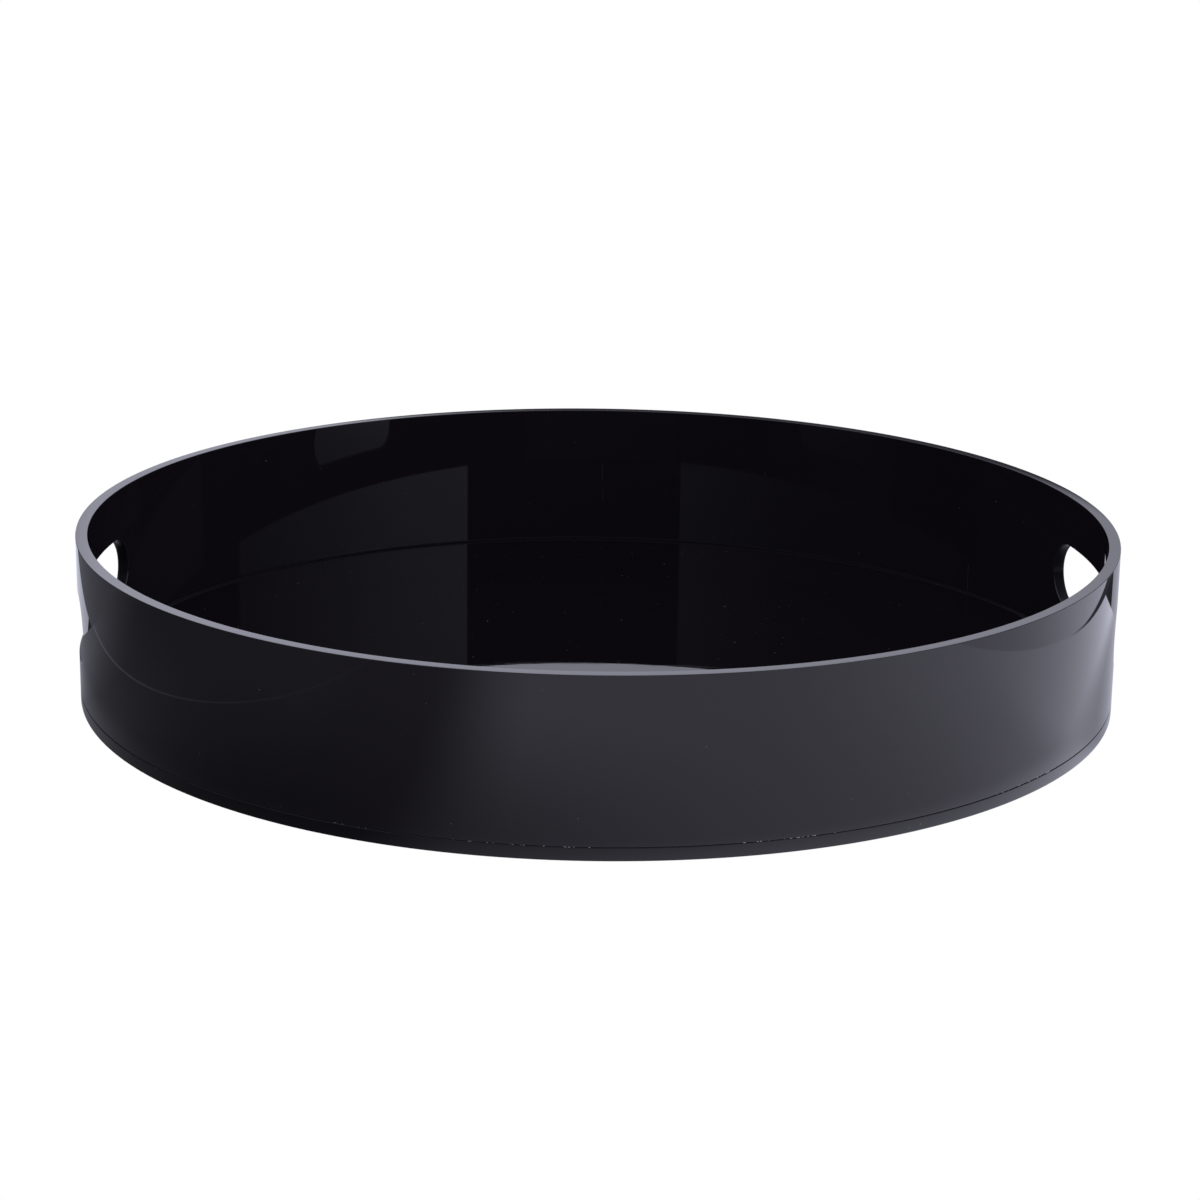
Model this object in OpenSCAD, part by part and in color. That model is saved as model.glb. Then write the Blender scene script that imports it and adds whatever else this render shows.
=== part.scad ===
// Round serving tray: a flat base disc, a bonded wall ring with two hand slots, and four bumper feet.
// Origin: centre of the tray on the plane that it stands on. +Z up, the hand slots face +X and -X.

/* [Tray] */
// Outer diameter of the wall ring and of the base disc
outer_d = 400; // [380:5:500]
// Thickness of the base disc
base_t = 4.8; // [3:0.1:8]

/* [Wall] */
// Thickness of the wall ring
wall_t = 4.5; // [3:0.1:8]
// Height of the wall ring
wall_h = 59.4; // [50:0.1:90]
// Radius of the polished rounding on the top edges of the wall
rim_round = 0.5; // [0.2:0.1:1]

/* [Hand slots] */
// Length of each hand slot from end to end
slot_l = 105; // [80:1:130]
// Height of each hand slot
slot_h = 25.6; // [18:0.2:32]
// Height of the slot centre above the bottom edge of the wall ring
slot_z = 26.6; // [22:0.2:30]

/* [Bond] */
// Thickness of the cement film between the base disc and the wall ring
bond_t = 0.2; // [0.1:0.05:0.4]
// Depth of the film's edges behind the faces of the wall
bond_inset = 0.3; // [0.2:0.05:0.6]
// Radius of the small roundings on the joint's edges
joint_round = 0.25; // [0.1:0.05:0.4]
// Radius of the rounding on the bottom edge of the base disc
base_round = 0.4; // [0.2:0.1:1]

/* [Feet] */
// Height of each bumper foot
foot_h = 2.5; // [1.5:0.1:4]
// Diameter of each bumper foot where it sticks to the base
foot_d = 12.6; // [8:0.2:20]
// Amount by which the diameter of a foot narrows to its bottom
foot_taper = 1; // [0.4:0.1:2]
// Radius of the rounding on the bottom edge of a foot
foot_round = 0.6; // [0.3:0.1:1]
// Distance of each foot's centre from the centre of the tray
foot_ring = 164; // [60:1:170]

/* [Hidden] */
outer_r = outer_d / 2;
base_z = foot_h;
bond_z = base_z + base_t;
wall_z = bond_z + bond_t;
// How far the slot cut starts outside the wall, and how deep it runs from there
cut_slack = 10;
cut_depth = 60;
// Segments of the large and of the small circles
fine = 360;
small = 48;

// A flat strip w wide and h high with rounded corners: radius r_low at the bottom, r_high at the top
module rounded_strip(w, h, r_low, r_high) {
    for (x = [r_low, w - r_low])
        translate([x, r_low]) circle(r = r_low, $fn = small);
    for (x = [r_high, w - r_high])
        translate([x, h - r_high]) circle(r = r_high, $fn = small);
    translate([r_low, 0]) square([w - 2 * r_low, r_low]);
    translate([0, r_low]) square([w, h - r_low - r_high]);
    translate([r_high, h - r_high]) square([w - 2 * r_high, r_high]);
}

// Half section of the base disc, from the axis to the rounded outer edge
module base_section() {
    square([outer_r - base_round, base_round]);
    translate([0, base_round]) square([outer_r, base_t - base_round - joint_round]);
    translate([0, base_t - joint_round]) square([outer_r - joint_round, joint_round]);
    translate([outer_r - base_round, base_round]) circle(r = base_round, $fn = small);
    translate([outer_r - joint_round, base_t - joint_round]) circle(r = joint_round, $fn = small);
}

// Outline of a hand slot: straight edges with half-round ends
module slot_outline() {
    square([slot_l - slot_h, slot_h], center = true);
    for (side = [-1, 1])
        translate([side * (slot_l - slot_h) / 2, 0]) circle(d = slot_h, $fn = small);
}

// The straight cut through the wall on the +X side (side = 1) or the -X side (side = -1)
module slot_cut(side) {
    translate([side * (outer_r + cut_slack), 0, wall_z + slot_z])
        rotate([90, 0, -90 * side]) linear_extrude(cut_depth) slot_outline();
}

// Flat round plate that carries the wall and is the tray's floor
module base_disc() {
    color("#0b0a0c")
        translate([0, 0, base_z]) rotate_extrude($fn = fine) base_section();
}

// Upright ring with polished edges and the two hand slots
module wall_ring() {
    color("#0b0a0c") difference() {
        translate([0, 0, wall_z]) rotate_extrude($fn = fine)
            translate([outer_r - wall_t, 0]) rounded_strip(wall_t, wall_h, joint_round, rim_round);
        for (side = [-1, 1]) slot_cut(side);
    }
}

// Thin ring of set cement that holds the wall to the base, a little behind both faces
module bond_film() {
    color("#3a3a40")
        translate([0, 0, bond_z]) rotate_extrude($fn = fine)
            translate([outer_r - wall_t + bond_inset, 0]) square([wall_t - 2 * bond_inset, bond_t]);
}

// Half section of a bumper foot, with its bottom at zero
module foot_section() {
    top_r = foot_d / 2;
    bottom_r = top_r - foot_taper / 2;
    square([bottom_r - foot_round, foot_round]);
    polygon([[0, foot_round], [bottom_r, foot_round], [top_r, foot_h], [0, foot_h]]);
    translate([bottom_r - foot_round, foot_round]) circle(r = foot_round, $fn = small);
}

// One self-adhesive bumper foot, at the given turn about the tray's axis
module foot(turn) {
    color("#1c1c1e")
        rotate([0, 0, turn]) translate([foot_ring, 0, 0]) rotate_extrude($fn = small) foot_section();
}

base_disc();
wall_ring();
bond_film();
foot(45);  // foot_right_back
foot(135);  // foot_left_back
foot(225);  // foot_left_front
foot(315);  // foot_right_front
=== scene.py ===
"""Round gloss black serving tray: base disc, wall ring with two hand slots, cement line and bumper feet."""

import math

import bpy
from bpy.props import FloatProperty, FloatVectorProperty, IntProperty, PointerProperty
from mathutils import Matrix, Vector


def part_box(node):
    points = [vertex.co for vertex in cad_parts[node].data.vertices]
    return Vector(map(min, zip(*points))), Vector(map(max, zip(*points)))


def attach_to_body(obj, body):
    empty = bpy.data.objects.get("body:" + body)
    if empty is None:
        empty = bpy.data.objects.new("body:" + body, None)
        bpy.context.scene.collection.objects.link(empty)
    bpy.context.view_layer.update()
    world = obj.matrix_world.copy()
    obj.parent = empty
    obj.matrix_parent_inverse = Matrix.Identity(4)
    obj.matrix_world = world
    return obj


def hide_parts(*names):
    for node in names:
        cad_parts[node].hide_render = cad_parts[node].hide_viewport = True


bl_info = {
    "name": "Round Serving Tray",
    "version": (1, 0, 0),
    "blender": (4, 5, 0),
    "location": "View3D > Sidebar > Tray",
    "description": "Builds a round gloss acrylic serving tray around its packed CAD model",
    "category": "Add Mesh",
}

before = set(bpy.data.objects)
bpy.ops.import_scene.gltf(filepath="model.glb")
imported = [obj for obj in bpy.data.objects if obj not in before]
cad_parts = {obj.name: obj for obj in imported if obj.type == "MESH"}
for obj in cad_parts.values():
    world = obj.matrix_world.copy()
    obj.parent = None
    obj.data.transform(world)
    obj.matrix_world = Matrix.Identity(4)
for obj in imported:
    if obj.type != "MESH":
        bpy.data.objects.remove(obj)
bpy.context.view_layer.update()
WALL_LOW, WALL_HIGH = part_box("wall_ring")
BASE_LOW, BASE_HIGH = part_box("base_disc")
FILM_LOW, FILM_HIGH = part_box("bond_film")
FEET = ("foot_right_back", "foot_left_back", "foot_left_front", "foot_right_front")

# Steps along a small rounding and along the cement fillet
ROUND_STEPS = 5
FILLET_STEPS = 12
# Distance of an extra row of points beside a rounding, which keeps the flat beside it flat
SUPPORT = 0.00012

# Refractive indices
ACRYLIC_IOR = 1.49
CEMENT_IOR = 1.48
RUBBER_IOR = 1.5
# Length of a bubble along the joint against its width
BUBBLE_STRETCH = 2.4
# Half the width over which an edge of the sheet under the tray fades
EDGE_BLUR = 0.001
# Width of the camera's sensor in millimetres
SENSOR_WIDTH = 36.0

# Fine upright scratches on the wall: turn round the axis in degrees, lowest and highest point, half width
WALL_MARKS = (
    (87.5, 0.0255, 0.0305, 0.00014),
    (87.6, 0.0345, 0.0423, 0.00016),
    (33.8, 0.0078, 0.0195, 0.00022),
)
# How strongly such a scratch shows, against a speck of dust
HAIR_STRENGTH = 0.12


# ---------------------------------------------------------------- settings


class TraySizes(bpy.types.PropertyGroup):
    """Sizes that the frame's boxes don't give"""

    wall: FloatProperty(
        name="Wall thickness",
        description="Thickness of the wall ring at its rim",
        default=0.0045,
        unit="LENGTH",
    )
    rim_round: FloatProperty(
        name="Rim rounding",
        description="Radius of the polished rounding on the rim's two edges",
        default=0.0002,
        unit="LENGTH",
    )
    rim_lean: FloatProperty(
        name="Rim lean",
        description="Angle that the polished top of the rim leans outwards by its outer edge",
        default=math.radians(1.2),
        subtype="ANGLE",
    )
    draw_in: FloatProperty(
        name="Wall draw-in",
        description="Angle that the wall's inner face leans inwards to its top",
        default=math.radians(0.28),
        subtype="ANGLE",
    )
    fillet: FloatProperty(
        name="Cement fillet",
        description="Height of the thin fillet of cement along the inside of the joint",
        default=0.0012,
        unit="LENGTH",
    )
    joint_round: FloatProperty(
        name="Joint rounding",
        description="Radius of the roundings on both sides of the cement line",
        default=0.00025,
        unit="LENGTH",
    )
    base_round: FloatProperty(
        name="Base rounding",
        description="Radius of the rounding on the bottom edge of the base disc",
        default=0.0004,
        unit="LENGTH",
    )
    slot_length: FloatProperty(
        name="Slot length",
        description="Length of a hand slot from end to end",
        default=0.105,
        unit="LENGTH",
    )
    slot_height: FloatProperty(
        name="Slot height",
        description="Height of a hand slot",
        default=0.0256,
        unit="LENGTH",
    )
    slot_rise: FloatProperty(
        name="Slot rise",
        description="Height of a slot's centre above the bottom edge of the wall ring",
        default=0.0266,
        unit="LENGTH",
    )
    slot_round: FloatProperty(
        name="Slot rounding",
        description="Radius of the polished rounding on a slot's edges",
        default=0.0005,
        unit="LENGTH",
    )
    foot_taper: FloatProperty(
        name="Foot taper",
        description="Amount by which a foot's radius narrows to its bottom",
        default=0.0005,
        unit="LENGTH",
    )
    foot_round: FloatProperty(
        name="Foot rounding",
        description="Radius of the rounding on a foot's bottom edge",
        default=0.0006,
        unit="LENGTH",
    )
    bubbles: IntProperty(
        name="Bubbles",
        description="Number of small bubbles tried along the cement line",
        default=420,
        subtype="UNSIGNED",
    )
    bubble_seed: IntProperty(
        name="Bubble seed",
        description="Seed of the bubbles' places and sizes",
        default=7,
        subtype="UNSIGNED",
    )
    bubble_spread: FloatProperty(
        name="Bubble spread",
        description="Most that a bubble lies above or below the middle of the cement line",
        default=0.00006,
        unit="LENGTH",
    )
    bubble_smallest: FloatProperty(
        name="Smallest bubble",
        description="Radius of the smallest bubbles",
        default=0.00008,
        unit="LENGTH",
    )
    bubble_largest: FloatProperty(
        name="Largest bubble",
        description="Radius of the largest bubbles",
        default=0.0002,
        unit="LENGTH",
    )
    steps: IntProperty(
        name="Steps round the tray",
        description="Number of steps round the base disc and the cement line",
        default=360,
        subtype="UNSIGNED",
    )
    foot_steps: IntProperty(
        name="Steps round a foot",
        description="Number of steps round each bumper foot",
        default=48,
        subtype="UNSIGNED",
    )


class TrayColours(bpy.types.PropertyGroup):
    """Colours of the tray's materials"""

    tube: FloatVectorProperty(
        name="Tube acrylic",
        description="Body colour of the wall ring's black acrylic",
        default=(0.0168, 0.0138, 0.0172),
        size=3,
        subtype="COLOR",
    )
    sheet: FloatVectorProperty(
        name="Sheet acrylic",
        description="Body colour of the base disc's black acrylic",
        default=(0.0064, 0.0049, 0.0067),
        size=3,
        subtype="COLOR",
    )
    dust: FloatVectorProperty(
        name="Dust",
        description="Colour of the dust specks",
        default=(0.32, 0.30, 0.31),
        size=3,
        subtype="COLOR",
    )
    cement: FloatVectorProperty(
        name="Cement",
        description="Colour of the set cement between base and wall",
        default=(0.012, 0.011, 0.014),
        size=3,
        subtype="COLOR",
    )
    bubble: FloatVectorProperty(
        name="Bubble",
        description="Colour of the bubbles in the cement",
        default=(0.35, 0.34, 0.37),
        size=3,
        subtype="COLOR",
    )
    rubber: FloatVectorProperty(
        name="Rubber",
        description="Colour of the bumper feet",
        default=(0.012, 0.012, 0.013),
        size=3,
        subtype="COLOR",
    )


class StudioSettings(bpy.types.PropertyGroup):
    """Camera, floor and light of the stage"""

    camera_turn: FloatProperty(
        name="Camera turn",
        description="Turn of the camera round the tray, from looking along +Y",
        default=math.radians(-2.03),
        subtype="ANGLE",
    )
    camera_aside: FloatProperty(
        name="Camera aside",
        description="Distance of the camera to the right of the tray's axis",
        default=0.001,
        unit="LENGTH",
    )
    camera_distance: FloatProperty(
        name="Camera distance",
        description="Level distance from the tray's axis to the camera",
        default=1.1303,
        unit="LENGTH",
    )
    camera_height: FloatProperty(
        name="Camera height",
        description="Height of the camera above the standing plane",
        default=0.3609,
        unit="LENGTH",
    )
    camera_pitch: FloatProperty(
        name="Camera pitch",
        description="Angle by which the camera looks down",
        default=math.radians(16.103),
        subtype="ANGLE",
    )
    camera_roll: FloatProperty(
        name="Camera roll",
        description="Tilt of the camera about its own axis",
        default=math.radians(0.79),
        subtype="ANGLE",
    )
    camera_lens: FloatProperty(
        name="Camera lens",
        description="Focal length on a 36 mm sensor",
        default=90.34,
        unit="CAMERA",
    )
    tint: FloatVectorProperty(
        name="Studio tint",
        description="Colour of all the studio light that the gloss mirrors",
        default=(0.916, 0.925, 1.105),
        size=3,
        subtype="COLOR",
        soft_max=1.2,
    )
    floor_size: FloatProperty(
        name="Floor size",
        description="Side of the square floor",
        default=12.0,
        unit="LENGTH",
    )
    backdrop_distance: FloatProperty(
        name="Backdrop distance",
        description="Distance from the tray's axis to the card behind it",
        default=0.6,
        unit="LENGTH",
    )
    backdrop_width: FloatProperty(
        name="Backdrop width",
        description="Width of the card behind the tray",
        default=0.92,
        unit="LENGTH",
    )
    backdrop_height: FloatProperty(
        name="Backdrop height",
        description="Height of the card behind the tray",
        default=0.7,
        unit="LENGTH",
    )


# ---------------------------------------------------------------- node helpers


class Socket:
    """One output of a node. Arithmetic on it adds Math nodes to its tree."""

    def __init__(self, graph, output):
        self.graph = graph
        self.output = output

    def _math(self, operation, left, right=0.0):
        return self.graph.math(operation, left, right)

    def __add__(self, other):
        return self._math("ADD", self, other)

    def __radd__(self, other):
        return self._math("ADD", other, self)

    def __sub__(self, other):
        return self._math("SUBTRACT", self, other)

    def __rsub__(self, other):
        return self._math("SUBTRACT", other, self)

    def __mul__(self, other):
        return self._math("MULTIPLY", self, other)

    def __rmul__(self, other):
        return self._math("MULTIPLY", other, self)

    def __truediv__(self, other):
        return self._math("DIVIDE", self, other)

    def __rtruediv__(self, other):
        return self._math("DIVIDE", other, self)

    def __gt__(self, other):
        return self._math("GREATER_THAN", self, other)

    def __lt__(self, other):
        return self._math("LESS_THAN", self, other)

    def __abs__(self):
        return self._math("ABSOLUTE", self)


class Graph:
    """Adds nodes to one node tree."""

    def __init__(self, tree):
        self.tree = tree

    def feed(self, target, value):
        """Links a Socket to an input, or sets the input's own value."""
        if isinstance(value, Socket):
            self.tree.links.new(value.output, target)
        else:
            target.default_value = value

    def add(self, kind, settings=None, inputs=None, out=0):
        """Makes a node, sets it up, feeds its inputs by name or number and returns one of its outputs."""
        node = self.tree.nodes.new(kind)
        for name, value in (settings or {}).items():
            setattr(node, name, value)
        for key, value in (inputs or {}).items():
            self.feed(node.inputs[key], value)
        return Socket(self, node.outputs[out]) if node.outputs else None

    def also(self, socket, out):
        """Another output of the node that a Socket comes from."""
        return Socket(self, socket.output.node.outputs[out])

    def math(self, operation, *values):
        """A Math node for the operation on the values."""
        return self.add("ShaderNodeMath", {"operation": operation}, dict(enumerate(values)))

    def step(self, value, start, end, low=0.0, high=1.0):
        """Eases from low to high while value goes from start to end."""
        inputs = {"Value": value, "From Min": start, "From Max": end, "To Min": low, "To Max": high}
        return self.add("ShaderNodeMapRange", {"interpolation_type": "SMOOTHSTEP"}, inputs)

    def line(self, value, start, end, low, high):
        """Goes evenly from low to high while value goes from start to end, and stays there."""
        inputs = {"Value": value, "From Min": start, "From Max": end, "To Min": low, "To Max": high}
        return self.add("ShaderNodeMapRange", {"clamp": True}, inputs)

    def pick(self, mask, low, high):
        """The number low where mask is 0 and high where it is 1."""
        return self.add("ShaderNodeMix", {"data_type": "FLOAT"}, {0: mask, 2: low, 3: high})

    def blend(self, mask, low, high):
        """The colour low where mask is 0 and high where it is 1."""
        return self.add("ShaderNodeMix", {"data_type": "RGBA"}, {0: mask, 6: low, 7: high}, out=2)

    def noise(self, where, scale, detail):
        """Smooth noise from 0 to 1, with about scale blobs to a unit of where."""
        return self.add("ShaderNodeTexNoise", None, {"Vector": where, "Scale": scale, "Detail": detail})

    def bump(self, height, strength, distance):
        """A normal tilted by a height map, where a height of 1 stands for the distance."""
        inputs = {"Height": height, "Strength": strength, "Distance": distance}
        return self.add("ShaderNodeBump", None, inputs)

    def reach(self, x, y):
        """The level distance from the tray's axis."""
        return self.math("SQRT", x * x + y * y)

    def split(self, vector):
        """The X, Y and Z of a vector."""
        x = self.add("ShaderNodeSeparateXYZ", None, {0: vector})
        return x, self.also(x, 1), self.also(x, 2)

    def join(self, x, y, z):
        """A vector from its X, Y and Z."""
        return self.add("ShaderNodeCombineXYZ", None, {0: x, 1: y, 2: z})


def rgba(colour):
    """A colour property with full alpha."""
    return (*colour[:3], 1.0)


def shade(colour, times, more=0.0):
    """A colour with each part multiplied and then raised."""
    return tuple(part * times + more for part in colour[:3])


def new_material(name):
    """An empty node material: the graph to fill and the material itself."""
    material = bpy.data.materials.new(name)
    material.use_nodes = True
    material.node_tree.nodes.clear()
    return Graph(material.node_tree), material


def end_surface(graph, shader):
    """Links a shader to the material's output."""
    graph.add("ShaderNodeOutputMaterial", None, {"Surface": shader})


def end_principled(graph, inputs):
    """Makes a Principled shader from its inputs and links it to the material's output."""
    end_surface(graph, graph.add("ShaderNodeBsdfPrincipled", None, inputs))


# ---------------------------------------------------------------- materials


def dust_mask(graph, where, cells, size, share):
    """Specks of dust: 1 inside each one. Cells is their number per metre, share the part of them that holds a
    speck, and size the radius of a speck."""
    grid = graph.add("ShaderNodeTexVoronoi", {"feature": "F1"}, {"Vector": where, "Scale": cells})
    chance = graph.split(graph.also(grid, "Color"))[0]
    radius = size * cells
    return graph.step(grid, radius, radius * 0.5) * (chance < share)


def hair_mark(graph, where, turn, low, high, width):
    """A fine upright scratch on the wall at the given turn, from the height low to the height high."""
    x, y, z = graph.split(where)
    sine, cosine = math.sin(math.radians(turn)), math.cos(math.radians(turn))
    aside = abs(x * sine - y * cosine)
    same_side = (x * cosine + y * sine) > 0.0
    return graph.step(aside, width, width * 0.4) * same_side * (z > low) * (z < high)


def acrylic_material(name, body, dust, dust_share, joint_painted_light=0.0, marks=()):
    """Polished black acrylic: near-black body, mirror gloss, faint wipe marks, fine scratches and dust, and
    painted light on the floor along the joint, where the body colour is made lighter against the shade by the
    wall."""
    graph, material = new_material(name)
    where = graph.add("ShaderNodeTexCoord", out="Object")
    wipe = graph.noise(where, scale=9.0, detail=3.0)
    stretched = graph.add(
        "ShaderNodeMapping",
        {"vector_type": "POINT"},
        {"Vector": where, "Rotation": (0.0, 0.0, 0.6), "Scale": (7.0, 420.0, 420.0)},
    )
    hairs = graph.noise(stretched, scale=1.0, detail=2.0)
    scratches = graph.step(abs(hairs - 0.5), 0.012, 0.0)
    coarse = dust_mask(graph, where, cells=100.0, size=0.00026, share=dust_share)
    fine = dust_mask(graph, where, cells=240.0, size=0.00016, share=dust_share)
    specks = graph.math("MAXIMUM", coarse, fine)
    for mark in marks:
        specks = graph.math("MAXIMUM", specks, hair_mark(graph, where, *mark) * HAIR_STRENGTH)
    x, y, z = graph.split(where)
    # Painted light: the body colour is made lighter on the floor near the joint, against the shade that falls
    # by the wall
    near_joint = graph.step(graph.reach(x, y), 0.14, 0.19) * graph.step(z, 0.012, 0.0074)
    body_and_painted_light = graph.blend(near_joint, rgba(body), rgba(shade(body, 1.0 + joint_painted_light)))
    roughness = 0.004 + graph.step(wipe, 0.45, 0.75) * 0.008 + scratches * 0.012 + specks * 0.6
    ripple = graph.noise(where, scale=14.0, detail=1.0)
    height = ripple * 0.6 + scratches * -0.01 + specks * 0.5
    bump = graph.bump(height, strength=1.0, distance=0.00002)
    end_principled(
        graph,
        {
            "Base Color": graph.blend(specks, body_and_painted_light, rgba(dust)),
            "Roughness": roughness,
            "IOR": ACRYLIC_IOR,
            "Normal": bump,
        },
    )
    return material


def cut_material(name, body, inner, outer):
    """The slots' cut faces: less polished than the rest, with soft grooves that run round the slot, and
    painted light and shade: dark by the inner face and paler in streaks towards the outer face."""
    graph, material = new_material(name)
    where = graph.add("ShaderNodeTexCoord", out="Object")
    stretched = graph.add(
        "ShaderNodeMapping", {"vector_type": "POINT"}, {"Vector": where, "Scale": (1100.0, 9.0, 9.0)}
    )
    grooves = graph.noise(stretched, scale=1.0, detail=2.0)
    x, y, _ = graph.split(where)
    # Painted light and shade across the cut: dark by the inner face, paler in streaks towards the outer face
    across = graph.line(graph.reach(x, y), inner, outer, 0.0, 1.0)
    bloom_and_painted_light = across * graph.step(grooves, 0.5, 0.66, 0.06, 1.0)
    dark = shade(body, 0.6)
    pale = shade(body, 1.0, 0.04)
    bump = graph.bump(grooves, strength=0.5, distance=0.00008)
    end_principled(
        graph,
        {
            "Base Color": graph.blend(bloom_and_painted_light, rgba(dark), rgba(pale)),
            "Roughness": graph.pick(bloom_and_painted_light, 0.2, 0.34),
            "IOR": ACRYLIC_IOR,
            "Specular IOR Level": 0.1,
            "Normal": bump,
        },
    )
    return material


def cement_material(name, colour):
    """Set cement: uneven in tone and dimpled."""
    graph, material = new_material(name)
    where = graph.add("ShaderNodeTexCoord", out="Object")
    patch = graph.noise(where, scale=260.0, detail=3.0)
    tone = graph.step(patch, 0.35, 0.75)
    lighter = shade(colour, 2.2)
    bump = graph.bump(patch, strength=0.6, distance=0.00005)
    end_principled(
        graph,
        {
            "Base Color": graph.blend(tone, rgba(colour), rgba(lighter)),
            "Roughness": graph.pick(tone, 0.16, 0.32),
            "IOR": CEMENT_IOR,
            "Normal": bump,
        },
    )
    return material


def fillet_material(name, colour, low, leg):
    """The fillet of cement inside the joint: dull, with one glossy line along its upper part."""
    graph, material = new_material(name)
    where = graph.add("ShaderNodeTexCoord", out="Object")
    patch = graph.noise(where, scale=90.0, detail=2.0)
    tone = graph.step(patch, 0.4, 0.8)
    dull = shade(colour, 1.3)
    lighter = shade(dull, 1.15)
    rise = (graph.split(where)[2] - low) / leg
    glossy = graph.step(abs(rise - 0.74), 0.16, 0.1)
    end_principled(
        graph,
        {
            "Base Color": graph.blend(tone, rgba(dull), rgba(lighter)),
            "Roughness": graph.pick(tone, 0.2, 0.4),
            "IOR": CEMENT_IOR,
            "Specular IOR Level": 0.03,
            "Coat Weight": glossy * 0.5,
            "Coat Roughness": 0.02,
        },
    )
    return material


def rubber_material(name, colour):
    """Bumper rubber: matt, with a fine moulded grain and a paler bloom of dust."""
    graph, material = new_material(name)
    where = graph.add("ShaderNodeTexCoord", out="Object")
    grain = graph.noise(where, scale=2600.0, detail=2.0)
    patch = graph.noise(where, scale=180.0, detail=2.0)
    bloom_and_painted_light = graph.step(patch, 0.4, 0.8)
    pale = shade(colour, 1.0, 0.02)
    bump = graph.bump(grain, strength=0.5, distance=0.00004)
    end_principled(
        graph,
        {
            "Base Color": graph.blend(bloom_and_painted_light, rgba(colour), rgba(pale)),
            "Roughness": graph.pick(bloom_and_painted_light, 0.55, 0.75),
            "IOR": RUBBER_IOR,
            "Normal": bump,
        },
    )
    return material


# ---------------------------------------------------------------- geometry nodes


def geometry_tree(name, inputs):
    """A geometry node tree with a geometry input and output and the given named inputs."""
    tree = bpy.data.node_groups.new(name, "GeometryNodeTree")
    tree.interface.new_socket("Geometry", in_out="INPUT", socket_type="NodeSocketGeometry")
    tree.interface.new_socket("Geometry", in_out="OUTPUT", socket_type="NodeSocketGeometry")
    for label, kind in inputs:
        tree.interface.new_socket(label, in_out="INPUT", socket_type=kind)
    graph = Graph(tree)
    source = graph.add("NodeGroupInput")
    return graph, source, tree


def end_geometry(graph, geometry, material):
    """Realizes the instances, sets the material and links the tree's output."""
    real = graph.add("GeometryNodeRealizeInstances", None, {0: geometry})
    painted = graph.add("GeometryNodeSetMaterial", None, {"Geometry": real, "Material": material})
    graph.add("NodeGroupOutput", None, {0: painted})


def lathe_tree():
    """Turns the input's points, a profile with X as radius and Z as height, about an upright axis."""
    names = [("Steps", "NodeSocketInt"), ("Centre", "NodeSocketVector"), ("Material", "NodeSocketMaterial")]
    graph, source, tree = geometry_tree("turned_profile", names)
    steps, centre, material = (graph.also(source, label) for label, _ in names)
    count = graph.add("GeometryNodeAttributeDomainSize", {"component": "MESH"}, {0: source})
    grid = graph.add("GeometryNodeMeshGrid", None, {"Vertices X": steps + 1.0, "Vertices Y": count})
    index = graph.add("GeometryNodeInputIndex")
    column = graph.math("FLOOR", (index + 0.5) / count)
    row = index - column * count
    place = graph.add("GeometryNodeInputPosition")
    profile = graph.add(
        "GeometryNodeSampleIndex",
        {"data_type": "FLOAT_VECTOR", "domain": "POINT"},
        {"Geometry": source, "Value": place, "Index": row},
    )
    radius, _, height = graph.split(profile)
    turn = column / steps * math.tau
    spot = graph.join(radius * graph.math("COSINE", turn), radius * graph.math("SINE", turn), height)
    moved = graph.add("GeometryNodeSetPosition", None, {"Geometry": grid, "Position": spot, "Offset": centre})
    closed = graph.add("GeometryNodeMergeByDistance", None, {"Geometry": moved, "Distance": 1e-7})
    smooth = graph.add("GeometryNodeSetShadeSmooth", None, {"Geometry": closed, "Shade Smooth": True})
    end_geometry(graph, smooth, material)
    return tree


def bubble_tree():
    """Strews small bubbles along a circle, in clusters."""
    names = [
        ("Count", "NodeSocketInt"),
        ("Radius", "NodeSocketFloat"),
        ("Height", "NodeSocketFloat"),
        ("Spread", "NodeSocketFloat"),
        ("Smallest", "NodeSocketFloat"),
        ("Largest", "NodeSocketFloat"),
        ("Seed", "NodeSocketInt"),
        ("Material", "NodeSocketMaterial"),
    ]
    graph, source, tree = geometry_tree("joint_bubbles", names)
    sockets = (graph.also(source, label) for label, _ in names)
    count, radius, height, spread, smallest, largest, seed, material = sockets
    random = {"data_type": "FLOAT"}
    turn = graph.add("FunctionNodeRandomValue", random, {2: 0.0, 3: math.tau, "Seed": seed}, out=1)
    lift = graph.add("FunctionNodeRandomValue", random, {2: -1.0, 3: 1.0, "Seed": seed + 1.0}, out=1)
    size = graph.add("FunctionNodeRandomValue", random, {2: smallest, 3: largest, "Seed": seed + 2.0}, out=1)
    spot = graph.join(
        radius * graph.math("COSINE", turn), radius * graph.math("SINE", turn), height + lift * spread
    )
    points = graph.add("GeometryNodePoints", None, {"Count": count, "Position": spot})
    place = graph.add("GeometryNodeInputPosition")
    cluster = graph.noise(place, scale=26.0, detail=0.0)
    kept = graph.add("GeometryNodeDeleteGeometry", {"domain": "POINT"}, {0: points, 1: cluster < 0.5})
    ball = graph.add("GeometryNodeMeshIcoSphere", None, {"Radius": 1.0, "Subdivisions": 2})
    x, y, _ = graph.split(place)
    strewn = graph.add(
        "GeometryNodeInstanceOnPoints",
        None,
        {
            "Points": kept,
            "Instance": ball,
            "Rotation": graph.join(0.0, 0.0, graph.math("ARCTAN2", y, x)),
            "Scale": graph.join(size, size * BUBBLE_STRETCH, size),
        },
    )
    end_geometry(graph, strewn, material)
    return tree


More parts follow.
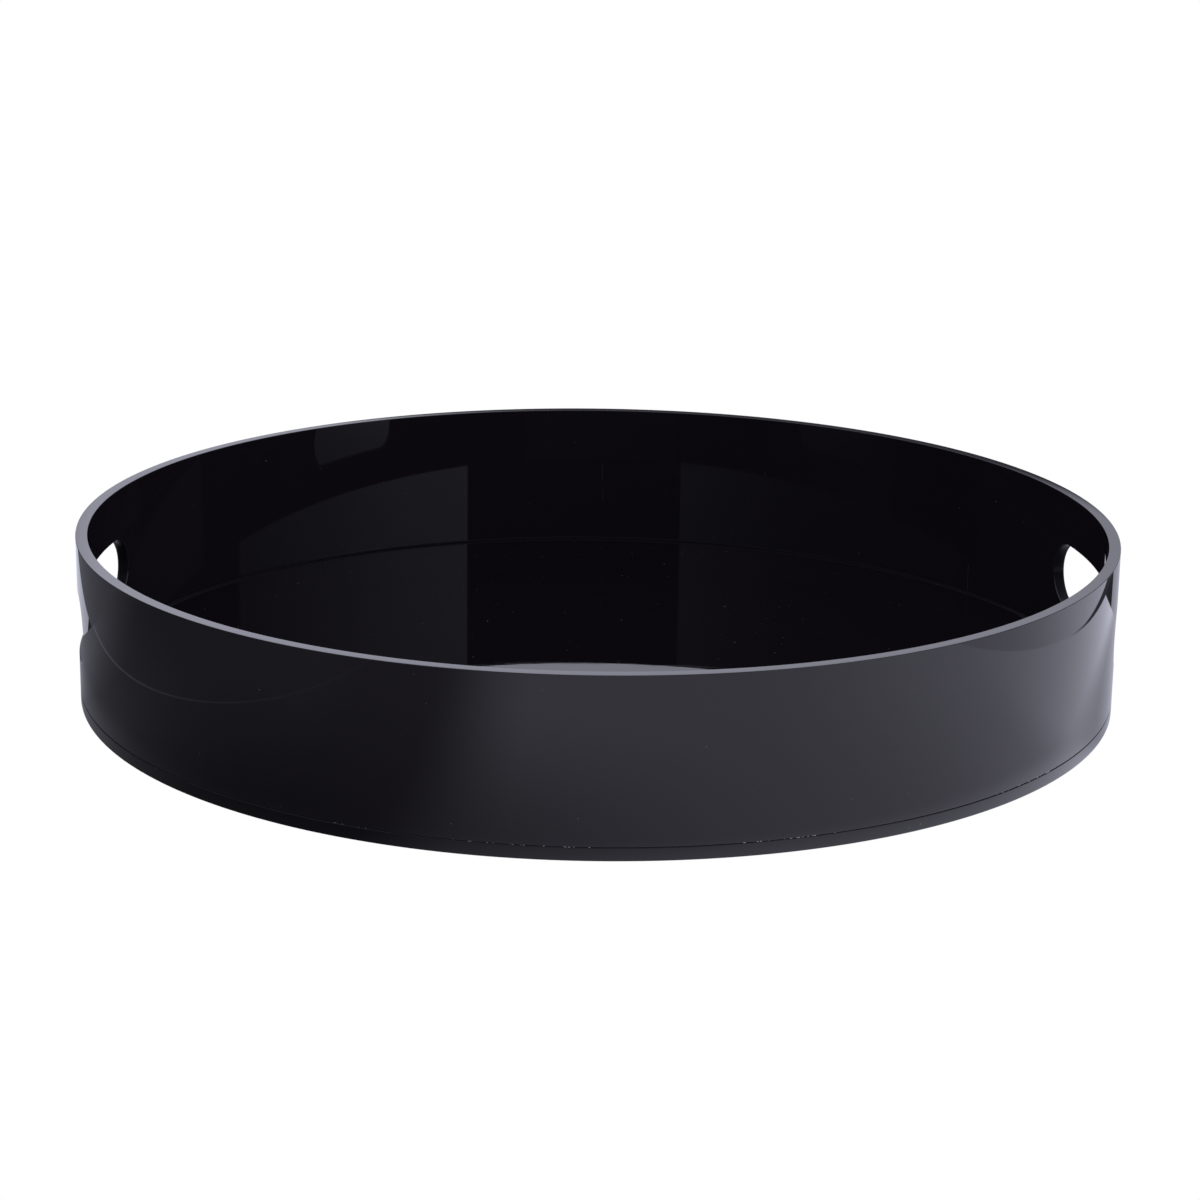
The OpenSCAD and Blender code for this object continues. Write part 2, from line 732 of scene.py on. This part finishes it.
def run_tree(name, tree, values, points=()):
    """A plain mesh object made by a geometry node tree from the given points and input values."""
    source = bpy.data.meshes.new(name + "_points")
    source.from_pydata([tuple(p) for p in points], [(i, i + 1) for i in range(len(points) - 1)], [])
    maker = bpy.data.objects.new(name + "_maker", source)
    bpy.context.scene.collection.objects.link(maker)
    modifier = maker.modifiers.new(name, "NODES")
    modifier.node_group = tree
    keys = {item.name: item.identifier for item in tree.interface.items_tree if item.in_out == "INPUT"}
    for label, value in values.items():
        modifier[keys[label]] = value
    graph = bpy.context.evaluated_depsgraph_get()
    mesh = bpy.data.meshes.new_from_object(maker.evaluated_get(graph))
    mesh.name = name
    bpy.data.objects.remove(maker)
    bpy.data.meshes.remove(source)
    if not mesh.polygons:
        raise RuntimeError(name + " came out empty")
    piece = bpy.data.objects.new(name, mesh)
    bpy.context.scene.collection.objects.link(piece)
    return piece


def arc(centre_x, centre_z, radius, start, end, steps):
    """Points (radius, height) of an arc in a profile, angles in degrees."""
    turns = [math.radians(start + (end - start) * i / steps) for i in range(steps + 1)]
    return [(centre_x + radius * math.cos(a), 0.0, centre_z + radius * math.sin(a)) for a in turns]


def attach(piece, slot, *nodes):
    """The piece rides on the tray's one body and stands for the CAD nodes, which are hidden. The slot is not
    used.
    """
    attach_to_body(piece, "root")
    if nodes:
        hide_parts(*nodes)


# ---------------------------------------------------------------- wall ring


class RingMesh:
    """Collects the wall ring's points, each with its true normal, and its faces."""

    def __init__(self):
        self.index = {}
        self.points = []
        self.normals = []
        self.faces = []
        self.cut_faces = set()

    def point(self, place, normal):
        """The number of the point at place, added if it is new."""
        key = tuple(round(part * 1e7) for part in place)
        if key not in self.index:
            self.index[key] = len(self.points)
            self.points.append(place)
            self.normals.append(normal.normalized())
        return self.index[key]

    def quad(self, *corners):
        """A face, turned so that it looks the way its points' normals do."""
        if len(set(corners)) < 3:
            return
        a, b, c = (self.points[i] for i in corners[:3])
        facing = (b - a).cross(c - a).dot(self.normals[corners[0]])
        self.faces.append(corners if facing > 0 else corners[::-1])

    def strip(self, first, second, closed=False):
        """Faces between two rows of points."""
        count = len(first) if closed else len(first) - 1
        for i in range(count):
            j = (i + 1) % len(first)
            self.quad(first[i], first[j], second[j], second[i])

    def mesh(self, name):
        """The finished mesh with the true normals."""
        mesh = bpy.data.meshes.new(name)
        mesh.from_pydata(self.points, [], self.faces)
        mesh.shade_smooth()
        mesh.normals_split_custom_set_from_vertices(self.normals)
        for face in self.cut_faces:
            mesh.polygons[face].material_index = 1
        return mesh


class WallRing:
    """Works out the wall ring: a turned section with an obround slot cut along X on each side."""

    # Half the width in Y of the patch of wall round each slot
    PATCH_HALF = 0.072
    # Columns over a slot's straight part and over the wall at each end of it, and rows up the wall
    STRAIGHT = 32
    END = 12
    SIDE = 12
    # Rings of faces from a slot's edge to its patch's border
    RINGS = 6
    # How much closer together those rings stand near the slot
    CROWDING = 1.4
    # Columns of each plain stretch of wall between the two patches
    PLAIN = 110
    # Steps across the top of the rim
    CROWN = 8

    def __init__(self, sizes):
        self.outer = WALL_HIGH.x
        self.inner = self.outer - sizes.wall
        self.low = WALL_LOW.z
        self.high = WALL_HIGH.z
        self.joint_round = sizes.joint_round
        self.rim_round = sizes.rim_round
        self.rim_lean = sizes.rim_lean
        self.lean = math.tan(sizes.draw_in)
        self.slot_round = sizes.slot_round
        self.half = sizes.slot_length / 2
        self.end_radius = sizes.slot_height / 2
        self.slot_z = self.low + sizes.slot_rise
        self.data = RingMesh()

    def levels(self, facing):
        """Heights of the rows of points on the upright outer (1) or inner (-1) face."""
        low = self.low + self.joint_round
        high = self.crown_edge() if facing > 0 else self.high - self.rim_round
        return [low + (high - low) * i / self.SIDE for i in range(self.SIDE + 1)]

    def crown_width(self):
        """Radial width of the polished top of the rim, between its two roundings."""
        return self.outer - self.inner - self.rim_round * (2 - math.sin(self.rim_lean))

    def crown_edge(self):
        """Height at which the outer rounding of the rim starts. The top falls by a cubic curve to it."""
        fall = self.crown_width() * math.tan(self.rim_lean) / 3
        return self.high - fall - self.rim_round * math.cos(self.rim_lean)

    def rim_row(self):
        """The rim from face to face as (radius, height, outward, upward)."""
        corner, width, slope = self.rim_round, self.crown_width(), math.tan(self.rim_lean)
        row = []
        for i in range(ROUND_STEPS + 1):
            a = (math.pi / 2 - self.rim_lean) * i / ROUND_STEPS
            out, up = math.cos(a), math.sin(a)
            row.append((self.outer - corner + corner * out, self.crown_edge() + corner * up, out, up))
        for i in range(self.CROWN - 1, 0, -1):
            s = i / self.CROWN
            height = self.high - width * slope * s**3 / 3
            row.append((self.inner + corner + s * width, height, s * s * slope, 1.0))
        for i in range(ROUND_STEPS, -1, -1):
            a = math.pi / 2 * i / ROUND_STEPS
            out, up = -math.cos(a), math.sin(a)
            row.append((self.inner + corner + corner * out, self.high - corner + corner * up, out, up))
        return row

    def bottom_row(self):
        """The rounded bottom edge from face to face as (radius, height, outward, upward)."""
        corner = self.joint_round
        row = []
        for side, face in ((1, self.outer), (-1, self.inner)):
            part = []
            for i in range(ROUND_STEPS + 1):
                a = math.pi / 2 * i / ROUND_STEPS
                out, up = side * math.cos(a), -math.sin(a)
                part.append((face - side * corner + corner * out, self.low + corner + corner * up, out, up))
            row += part if side == 1 else part[::-1]
        return row

    def on_wall(self, side, across, radius):
        """X and Y of the place on a cylinder where Y is across, on the +X or -X side."""
        return side * math.sqrt(radius * radius - across * across), across

    def turned(self, x, y, row):
        """Points of a section row, where x and y are functions of the radius."""
        made = []
        for radius, height, out, up in row:
            px, py = x(radius), y(radius)
            made.append(
                self.data.point(Vector((px, py, height)), Vector((px / radius * out, py / radius * out, up)))
            )
        return made

    def columns(self):
        """Y of the columns across one slot's patch."""
        straight = self.half - self.end_radius
        middle = [straight * (2 * i / self.STRAIGHT - 1) for i in range(self.STRAIGHT + 1)]
        outer = [straight + (self.PATCH_HALF - straight) * i / self.END for i in range(1, self.END + 1)]
        return [-y for y in outer[::-1]] + middle + outer

    def border(self, facing):
        """The patch's border, point by point, clockwise from the top left: (Y, height)."""
        columns, levels = self.columns(), self.levels(facing)
        top = [(y, levels[-1]) for y in columns[:-1]]
        right = [(columns[-1], z) for z in levels[:0:-1]]
        bottom = [(y, levels[0]) for y in columns[:0:-1]]
        left = [(columns[0], z) for z in levels[:-1]]
        return top + right + bottom + left

    def outline(self):
        """The slot's outline, with one point for each point of the border: (centre Y, angle from up)."""
        straight = self.half - self.end_radius
        around = 2 * self.END + self.SIDE
        end = [math.pi * i / around for i in range(around + 1)]
        across = [straight * (2 * i / self.STRAIGHT - 1) for i in range(self.STRAIGHT + 1)]
        path = [(y, 0.0) for y in across[:-1]]
        path += [(straight, a) for a in end[:-1]]
        path += [(y, math.pi) for y in across[:0:-1]]
        path += [(-straight, math.pi + a) for a in end[:-1]]
        return path[-self.END :] + path[: -self.END]

    def slot_loop(self, side, offset, radius, outwards, into):
        """A loop of points round the slot, offset from its outline, on a cylinder of the given radius."""
        made = []
        for centre, angle in self.outline():
            away_y, away_z = math.sin(angle), math.cos(angle)
            y = centre + (self.end_radius + offset) * away_y
            z = self.slot_z + (self.end_radius + offset) * away_z
            px, py = self.on_wall(side, y, radius)
            normal = Vector((px, py, 0)).normalized() * outwards - Vector((0, away_y, away_z)) * into
            made.append(self.data.point(Vector((px, py, z)), normal))
        return made

    def patch(self, side, radius, facing):
        """The face of the wall round a slot, from its rounded edge to the patch's border."""
        edge = self.slot_round
        border = self.border(facing)
        rows = []
        for k in range(self.RINGS + 1):
            share = (k / self.RINGS) ** self.CROWDING
            row = []
            for (centre, angle), (border_y, border_z) in zip(self.outline(), border):
                near_y = centre + (self.end_radius + edge) * math.sin(angle)
                near_z = self.slot_z + (self.end_radius + edge) * math.cos(angle)
                y = near_y + (border_y - near_y) * share
                z = near_z + (border_z - near_z) * share
                px, py = self.on_wall(side, y, radius)
                row.append(self.data.point(Vector((px, py, z)), Vector((px, py, 0)) * facing))
            rows.append(row)
        for first, second in zip(rows, rows[1:]):
            self.data.strip(first, second, closed=True)

    def cut(self, side):
        """The slot's own faces: a rounded edge, the cut through the wall and the other rounded edge."""
        edge = self.slot_round
        loops = []
        for i in range(ROUND_STEPS + 1):
            a = math.pi / 2 * i / ROUND_STEPS
            out, into = math.cos(a), math.sin(a)
            loops.append((edge * (1 - into), self.outer - edge * (1 - out), out, into))
        for i in range(ROUND_STEPS, -1, -1):
            a = math.pi / 2 * i / ROUND_STEPS
            out, into = math.cos(a), math.sin(a)
            loops.append((edge * (1 - into), self.inner + edge * (1 - out), -out, into))
        rows = [self.slot_loop(side, *loop) for loop in loops]
        for first, second in zip(rows, rows[1:]):
            start = len(self.data.faces)
            self.data.strip(first, second, closed=True)
            if second is rows[ROUND_STEPS + 1]:
                self.data.cut_faces.update(range(start, len(self.data.faces)))

    def sweep(self, places, plain):
        """The section between columns. A place is a pair of functions from radius to X and to Y."""
        for section in (self.rim_row(), self.bottom_row()):
            rows = [self.turned(x, y, section) for x, y in places]
            for first, second in zip(rows, rows[1:]):
                self.data.strip(first, second)
        if not plain:
            return
        for radius, facing in ((self.outer, 1), (self.inner, -1)):
            upright = [(radius, z, facing, 0.0) for z in self.levels(facing)]
            rows = [self.turned(x, y, upright) for x, y in places]
            for first, second in zip(rows, rows[1:]):
                self.data.strip(first, second)

    def at_column(self, side, across):
        """The place of a patch column: the same Y at every radius."""
        return (lambda r: side * math.sqrt(r * r - across * across)), (lambda r: across)

    def at_turn(self, turn):
        """The place of a plain column: the same turn at every radius."""
        return (lambda r: r * math.cos(turn)), (lambda r: r * math.sin(turn))

    def draw_in(self):
        """Leans the inner face inwards a little to its top, where the wall has its full thickness."""
        for i, (place, normal) in enumerate(zip(self.data.points, self.data.normals)):
            radius = math.hypot(place.x, place.y)
            share = (self.outer - radius) / (self.outer - self.inner) * self.lean
            outwards = (self.high - place.z) * share / radius
            outward = (normal.x * place.x + normal.y * place.y) / radius
            self.data.points[i] = Vector((place.x * (1 + outwards), place.y * (1 + outwards), place.z))
            self.data.normals[i] = (normal + Vector((0, 0, outward * share))).normalized()

    def build(self, name):
        """The whole ring as a mesh."""
        for side in (1, -1):
            self.sweep([self.at_column(side, y) for y in self.columns()], plain=False)
            self.patch(side, self.outer, 1)
            self.patch(side, self.inner, -1)
            self.cut(side)
        start = math.asin(self.PATCH_HALF / self.outer)
        for back in (1, -1):
            turns = [start + (math.pi - 2 * start) * i / self.PLAIN for i in range(1, self.PLAIN)]
            places = [self.at_column(1, back * self.PATCH_HALF)]
            places += [self.at_turn(back * turn) for turn in turns]
            places.append(self.at_column(-1, back * self.PATCH_HALF))
            self.sweep(places, plain=True)
        self.draw_in()
        return self.data.mesh(name)


# ---------------------------------------------------------------- stage


def studio_radiance(graph, turn, rise):
    """What the gloss mirrors above the floor: a bright card at the front right, a dim one at the front left,
    a dark gap with the camera between them, almost nothing behind the tray, and a glow from the ceiling that
    grows with height. The sides are brighter low down. Turn is 0 towards the camera and grows to the right,
    rise is the height angle, both in degrees."""
    gap, behind = 0.01, 0.02
    bright = graph.line(turn, 33.0, 50.0, 0.8, 0.67)
    bright = bright - graph.line(turn, 50.0, 67.0, 0.0, 0.26) - graph.line(turn, 67.0, 93.0, 0.0, 0.25)
    dim = graph.line(turn, -46.0, -20.0, 0.09, 0.25) - graph.line(turn, -90.0, -46.0, 0.05, 0.0)
    on_bright = graph.step(turn, 32.45, 33.05)
    on_dim = graph.step(turn, -19.8, -20.3)
    side = graph.pick(on_dim, graph.pick(on_bright, gap, bright), dim)
    side = side * (1.0 + graph.line(rise, 12.7, 13.6, 0.55, 0.0) * (abs(turn) > 46.0))
    side = graph.pick(graph.step(abs(turn), 96.5, 98.0), side, behind)
    ceiling = graph.line(rise, 20.0, 60.0, 0.38, 0.76)
    return graph.pick(graph.step(rise, 19.0, 26.0), side, ceiling)


def tinted(graph, settings, level):
    """The studio's tint at the given brightness, as a colour."""
    tint = tuple(settings.tint)
    return graph.add("ShaderNodeVectorMath", {"operation": "SCALE"}, {0: tint, "Scale": level})


def make_world(settings):
    """White for the camera, the studio's cards for everything that mirrors or is lit."""
    world = bpy.data.worlds.new("studio")
    world.use_nodes = True
    world.node_tree.nodes.clear()
    bpy.context.scene.world = world
    graph = Graph(world.node_tree)
    x, y, z = graph.split(graph.add("ShaderNodeTexCoord", out="Generated"))
    start = math.degrees(settings.camera_turn)
    turn = graph.math("ARCTAN2", x, y * -1.0) * math.degrees(1.0) - start
    rise = graph.math("ARCSINE", z) * math.degrees(1.0)
    level = studio_radiance(graph, turn, rise)
    studio = graph.add("ShaderNodeBackground", None, {"Color": tinted(graph, settings, level)})
    white = graph.add("ShaderNodeBackground", None, {"Color": (1.0, 1.0, 1.0, 1.0)})
    seen = graph.add("ShaderNodeLightPath", out="Is Camera Ray")
    mixed = graph.add("ShaderNodeMixShader", None, {0: seen, 1: studio, 2: white})
    graph.add("ShaderNodeOutputWorld", None, {"Surface": mixed})


def stage_place(graph, settings):
    """X and Y on the floor along the camera's own directions, and Z."""
    where = graph.add("ShaderNodeTexCoord", out="Object")
    turned = graph.add(
        "ShaderNodeMapping",
        {"vector_type": "POINT"},
        {"Vector": where, "Rotation": (0.0, 0.0, -settings.camera_turn)},
    )
    return graph.split(turned)


def floor_radiance(graph, x, y):
    """How bright the floor round the tray is to the gloss: bright at the right, in shade at the left, darker
    close to the tray but for a pale line at its edge, and darker in its shadow behind the right side."""
    reach = graph.reach(x, y)
    turn = graph.math("ARCTAN2", x, y * -1.0) * math.degrees(1.0)
    shade_near = graph.line(turn, -94.0, -81.0, 0.21, 0.11) - graph.line(turn, -70.0, -46.0, 0.0, 0.062)
    shade_far = graph.line(turn, -98.0, -86.0, 0.17, 0.085) + graph.line(turn, -80.0, -45.0, 0.0, 0.065)
    shade_far = shade_far - graph.line(turn, -44.0, -36.0, 0.0, 0.035)
    lit_near = graph.line(turn, -12.0, 16.0, 0.28, 0.6) + graph.line(turn, 16.0, 55.0, 0.0, 0.28)
    lit_far = graph.step(turn, 20.0, 62.0, 0.76, 1.11)
    near = graph.pick(graph.step(turn, -26.3, -9.6), shade_near, lit_near)
    far = graph.pick(graph.step(turn, -25.3, -8.6), shade_far, lit_far)
    level = graph.pick(graph.step(reach, 0.2, 0.38), near, far)
    level = level * graph.step(reach, 0.2, 0.228, 1.75, 1.0)
    on_right = graph.step(turn, 60.0, 74.0)
    shadow_edge = 0.238 + (turn - 85.0) * 0.0017
    shadow = graph.step(reach - shadow_edge, 0.015, -0.016) * on_right
    return graph.pick(on_right, level, 1.18) * (1.0 - shadow * 0.5)


def sheet_edges(graph, x, y, level):
    """Adds the edges of the sheet that the tray stands on and what lies beyond them: a pale line along the
    left edge, the floor past the back edge with three darker patches, and a dark slit on the right with a
    bright floor past it."""
    past_left = x + 0.275 + (y - 0.035) * 0.1127
    past_back = y - 0.045 - (x + 0.257) * 0.1035
    past_right = x - 0.309 + (y - 0.102) * 0.122
    glint = graph.line(y, -0.25, 0.05, 0.075, 0.2)
    level = level + graph.step(abs(past_left), 0.0018, 0.0) * glint
    right_corner = x - 0.277 - (y - 0.1045) * 0.49
    left_corner = x + 0.2715 + (y - 0.06) * 0.06
    beyond = graph.line(x, -0.24, 0.24, 0.8, 0.54)
    beyond = graph.pick(graph.step(right_corner, -EDGE_BLUR, EDGE_BLUR), beyond, 0.03)
    beyond = graph.pick(graph.step(x + y, -0.211, -0.213), beyond, 0.05)
    beyond = graph.pick(graph.step(left_corner, EDGE_BLUR, -EDGE_BLUR), beyond, 0.17)
    level = graph.pick(graph.step(past_back, -EDGE_BLUR, EDGE_BLUR), level, beyond)
    slit = graph.step(past_right, -EDGE_BLUR, EDGE_BLUR) * graph.step(y, -0.02, 0.04)
    level = graph.pick(slit * (y > -0.02) * (x > 0.27), level, 0.06)
    outside = graph.line(y, -0.1, 0.0, 0.9, 1.08) - graph.line(y, 0.05, 0.12, 0.0, 0.13)
    past_slit = x - 0.321 + graph.math("MINIMUM", y - 0.03, 0.0) * 0.1
    return graph.pick(graph.step(past_slit, -EDGE_BLUR, EDGE_BLUR), level, outside)


def under_tray(graph, x, y, level):
    """Evens out the floor below the tray, which only the underside mirrors."""
    reach = graph.reach(x, y)
    even = graph.line(y, -0.2, 0.2, 0.25, 0.5)
    return graph.pick(graph.step(reach, 0.203, 0.19), level, even)


def floor_material(settings):
    """White to the camera from above, clear from below, and the lit sheet to everything else."""
    graph, material = new_material("studio_floor")
    x, y, _ = stage_place(graph, settings)
    level = under_tray(graph, x, y, sheet_edges(graph, x, y, floor_radiance(graph, x, y)))
    lit = graph.add("ShaderNodeEmission", None, {"Color": tinted(graph, settings, level)})
    white = graph.add("ShaderNodeEmission", None, {"Color": (1.0, 1.0, 1.0, 1.0)})
    clear = graph.add("ShaderNodeBsdfTransparent")
    below = graph.add("ShaderNodeNewGeometry", out="Backfacing")
    seen = graph.add("ShaderNodeLightPath", out="Is Camera Ray")
    to_camera = graph.add("ShaderNodeMixShader", None, {0: below, 1: white, 2: clear})
    end_surface(graph, graph.add("ShaderNodeMixShader", None, {0: seen, 1: lit, 2: to_camera}))
    return material


def backdrop_material(settings):
    """The card behind the tray: white above a soft lower edge, dark below it, dimmer to the right, at the far
    left and higher up."""
    graph, material = new_material("studio_backdrop")
    x, _, z = stage_place(graph, settings)
    edge = z - 0.17 - x * 0.11
    shown = graph.math("MAXIMUM", graph.step(edge, -0.014, 0.014, 0.1, 1.0), graph.step(abs(x), 0.3, 0.325))
    across = graph.line(x, -0.35, 0.35, 1.08, 0.7) * graph.line(x, -0.36, -0.3, 0.62, 1.0)
    upright = graph.step(z, 0.2, 0.31, 1.0, 1.34) * graph.line(z, 0.37, 0.46, 1.0, 0.6)
    colour = tinted(graph, settings, shown * across * upright)
    end_surface(graph, graph.add("ShaderNodeEmission", None, {"Color": colour}))
    return material


def stage_plane(name, corners, material):
    """A flat piece of the stage."""
    mesh = bpy.data.meshes.new(name)
    mesh.from_pydata(corners, [], [(0, 1, 2, 3)])
    mesh.materials.append(material)
    plane = bpy.data.objects.new(name, mesh)
    bpy.context.scene.collection.objects.link(plane)
    return plane


def make_backdrop(settings):
    """The card behind the tray, seen only in the gloss."""
    turned = Matrix.Rotation(settings.camera_turn, 3, "Z")
    half, away, height = settings.backdrop_width / 2, settings.backdrop_distance, settings.backdrop_height
    corners = [(-half, away, 0.0), (half, away, 0.0), (half, away, height), (-half, away, height)]
    card = stage_plane("studio_backdrop", [turned @ Vector(c) for c in corners], backdrop_material(settings))
    card.visible_camera = False


def make_floor(settings):
    """The flat floor on the standing plane."""
    half = settings.floor_size / 2
    corners = [(-half, -half, 0.0), (half, -half, 0.0), (half, half, 0.0), (-half, half, 0.0)]
    stage_plane("studio_floor", corners, floor_material(settings))


def make_camera(settings):
    """The camera, looking down at the tray from the front."""
    data = bpy.data.cameras.new("camera")
    data.lens = settings.camera_lens
    data.sensor_width = SENSOR_WIDTH
    camera = bpy.data.objects.new("camera", data)
    bpy.context.scene.collection.objects.link(camera)
    round_tray = Matrix.Rotation(settings.camera_turn, 4, "Z")
    place = Vector((settings.camera_aside, -settings.camera_distance, settings.camera_height))
    look = Matrix.Rotation(math.pi / 2 - settings.camera_pitch, 4, "X")
    roll = Matrix.Rotation(settings.camera_roll, 4, "Z")
    camera.matrix_world = Matrix.Translation(round_tray @ place) @ round_tray @ look @ roll
    bpy.context.scene.camera = camera


# ---------------------------------------------------------------- operators


class TRAY_OT_base_disc(bpy.types.Operator):
    """Makes the base disc, turned from its half section"""

    bl_idname = "tray.base_disc"
    bl_label = "Base disc"

    def execute(self, context):
        sizes, colours = context.scene.tray_sizes, context.scene.tray_colours
        radius, low, high = BASE_HIGH.x, BASE_LOW.z, BASE_HIGH.z
        foot, lip = sizes.base_round, sizes.joint_round
        profile = [(0.0, 0.0, low), (radius * 0.5, 0.0, low), (radius - foot - SUPPORT, 0.0, low)]
        profile += arc(radius - foot, low + foot, foot, -90, 0, ROUND_STEPS)
        profile += [(radius, 0.0, low + foot + SUPPORT), (radius, 0.0, high - lip - SUPPORT)]
        profile += arc(radius - lip, high - lip, lip, 0, 90, ROUND_STEPS)
        profile += [(radius - lip - SUPPORT, 0.0, high), (radius * 0.5, 0.0, high), (0.0, 0.0, high)]
        # The base's colour is made lighter along the joint: painted light
        material = acrylic_material(
            "base_black_acrylic", colours.sheet, colours.dust, dust_share=0.75, joint_painted_light=0.45
        )
        values = {"Steps": sizes.steps, "Centre": (0.0, 0.0, 0.0), "Material": material}
        piece = run_tree("base_plate", lathe_tree(), values, profile)
        attach(piece, "black_acrylic", "base_disc")
        return {"FINISHED"}


class TRAY_OT_wall_ring(bpy.types.Operator):
    """Makes the wall ring with its polished rim and hand slots"""

    bl_idname = "tray.wall_ring"
    bl_label = "Wall ring"

    def execute(self, context):
        colours = context.scene.tray_colours
        ring = WallRing(context.scene.tray_sizes)
        mesh = ring.build("tray_wall")
        face = acrylic_material(
            "wall_black_acrylic", colours.tube, colours.dust, dust_share=0.12, marks=WALL_MARKS
        )
        cut = cut_material("wall_cut_acrylic", colours.tube, ring.inner, ring.outer)
        mesh.materials.append(face)
        mesh.materials.append(cut)
        piece = bpy.data.objects.new("tray_wall", mesh)
        context.scene.collection.objects.link(piece)
        attach(piece, "black_acrylic", "wall_ring")
        return {"FINISHED"}


def make_film(sizes, colours):
    """The film of cement between base and wall, slightly hollow along both edges."""
    outer, low, high = FILM_HIGH.x, FILM_LOW.z, FILM_HIGH.z
    inset = BASE_HIGH.x - outer
    inner = BASE_HIGH.x - sizes.wall + inset
    hollow = (high - low) / 4
    middle = (low + high) / 2
    profile = [
        (inner, 0.0, low),
        (outer, 0.0, low),
        (outer - hollow, 0.0, middle),
        (outer, 0.0, high),
        (inner, 0.0, high),
        (inner + hollow, 0.0, middle),
        (inner, 0.0, low),
    ]
    material = cement_material("set_cement", colours.cement)
    values = {"Steps": sizes.steps, "Centre": (0.0, 0.0, 0.0), "Material": material}
    film = run_tree("cement_line", lathe_tree(), values, profile)
    attach(film, "acrylic_cement", "bond_film")


def make_fillet(sizes, colours):
    """The fillet of cement along the inside of the joint. Its back is hidden in the wall."""
    wall = BASE_HIGH.x - sizes.wall + (WALL_HIGH.z - WALL_LOW.z) * math.tan(sizes.draw_in)
    low, leg = FILM_LOW.z, sizes.fillet
    back = wall + sizes.joint_round
    profile = [(back, 0.0, low), (wall - leg, 0.0, low)]
    profile += arc(wall - leg, low + leg, leg, -90, 0, FILLET_STEPS)
    profile += [(back, 0.0, low + leg), (back, 0.0, low)]
    material = fillet_material("cement_fillet", colours.sheet, low, leg)
    values = {"Steps": sizes.steps, "Centre": (0.0, 0.0, 0.0), "Material": material}
    fillet = run_tree("cement_fillet", lathe_tree(), values, profile)
    attach(fillet, "acrylic_cement")


def make_bubbles(sizes, colours):
    """The small bubbles along the outer edge of the cement film."""
    values = {
        "Count": sizes.bubbles,
        "Radius": FILM_HIGH.x,
        "Height": (FILM_LOW.z + FILM_HIGH.z) / 2,
        "Spread": sizes.bubble_spread,
        "Smallest": sizes.bubble_smallest,
        "Largest": sizes.bubble_largest,
        "Seed": sizes.bubble_seed,
        "Material": cement_material("cement_bubbles", colours.bubble),
    }
    bubbles = run_tree("cement_bubbles", bubble_tree(), values)
    attach(bubbles, "acrylic_cement")


class TRAY_OT_cement_line(bpy.types.Operator):
    """Makes the cement line between base and wall, and the bubbles in it"""

    bl_idname = "tray.cement_line"
    bl_label = "Cement line"

    def execute(self, context):
        sizes, colours = context.scene.tray_sizes, context.scene.tray_colours
        make_film(sizes, colours)
        make_fillet(sizes, colours)
        make_bubbles(sizes, colours)
        return {"FINISHED"}


class TRAY_OT_bumper_feet(bpy.types.Operator):
    """Makes the four bumper feet under the base"""

    bl_idname = "tray.bumper_feet"
    bl_label = "Bumper feet"

    def execute(self, context):
        sizes, colours = context.scene.tray_sizes, context.scene.tray_colours
        tree = lathe_tree()
        material = rubber_material("bumper_rubber", colours.rubber)
        for node in FEET:
            low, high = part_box(node)
            top = (high.x - low.x) / 2
            bottom = top - sizes.foot_taper
            corner = sizes.foot_round
            profile = [(0.0, 0.0, low.z), (bottom - corner - SUPPORT, 0.0, low.z)]
            profile += arc(bottom - corner, low.z + corner, corner, -90, 0, ROUND_STEPS)
            profile += [(top, 0.0, high.z), (0.0, 0.0, high.z)]
            centre = ((low.x + high.x) / 2, (low.y + high.y) / 2, 0.0)
            values = {"Steps": sizes.foot_steps, "Centre": centre, "Material": material}
            piece = run_tree(node.replace("foot", "bumper"), tree, values, profile)
            attach(piece, "foot_rubber", node)
        return {"FINISHED"}


class TRAY_OT_stage(bpy.types.Operator):
    """Makes the floor, the studio light and the camera"""

    bl_idname = "tray.stage"
    bl_label = "Stage"

    def execute(self, context):
        settings = context.scene.tray_studio
        context.scene.view_settings.view_transform = "Standard"
        make_camera(settings)
        make_world(settings)
        make_floor(settings)
        make_backdrop(settings)
        return {"FINISHED"}


class TRAY_PT_panel(bpy.types.Panel):
    """Lists the tray's pieces and settings"""

    bl_idname = "TRAY_PT_panel"
    bl_label = "Round Serving Tray"
    bl_space_type = "VIEW_3D"
    bl_region_type = "UI"
    bl_category = "Tray"

    def draw(self, context):
        layout = self.layout
        for group in (context.scene.tray_sizes, context.scene.tray_colours, context.scene.tray_studio):
            box = layout.box()
            for name in group.bl_rna.properties.keys():
                if name not in ("name", "rna_type"):
                    box.prop(group, name)
        for operator in OPERATORS:
            layout.operator(operator.bl_idname)


OPERATORS = (TRAY_OT_stage, TRAY_OT_base_disc, TRAY_OT_wall_ring, TRAY_OT_cement_line, TRAY_OT_bumper_feet)
GROUPS = {"tray_sizes": TraySizes, "tray_colours": TrayColours, "tray_studio": StudioSettings}


def register():
    """Registers the settings, operators and panel."""
    for cls in (*GROUPS.values(), *OPERATORS, TRAY_PT_panel):
        bpy.utils.register_class(cls)
    for name, cls in GROUPS.items():
        setattr(bpy.types.Scene, name, PointerProperty(type=cls))


def unregister():
    """Takes the settings, operators and panel away again."""
    for name in GROUPS:
        delattr(bpy.types.Scene, name)
    for cls in (TRAY_PT_panel, *reversed(OPERATORS), *reversed(GROUPS.values())):
        bpy.utils.unregister_class(cls)


def main():
    """Builds the tray and its stage."""
    register()
    bpy.ops.tray.stage()
    bpy.ops.tray.base_disc()
    bpy.ops.tray.wall_ring()
    bpy.ops.tray.cement_line()
    bpy.ops.tray.bumper_feet()


if __name__ == "__main__":
    main()
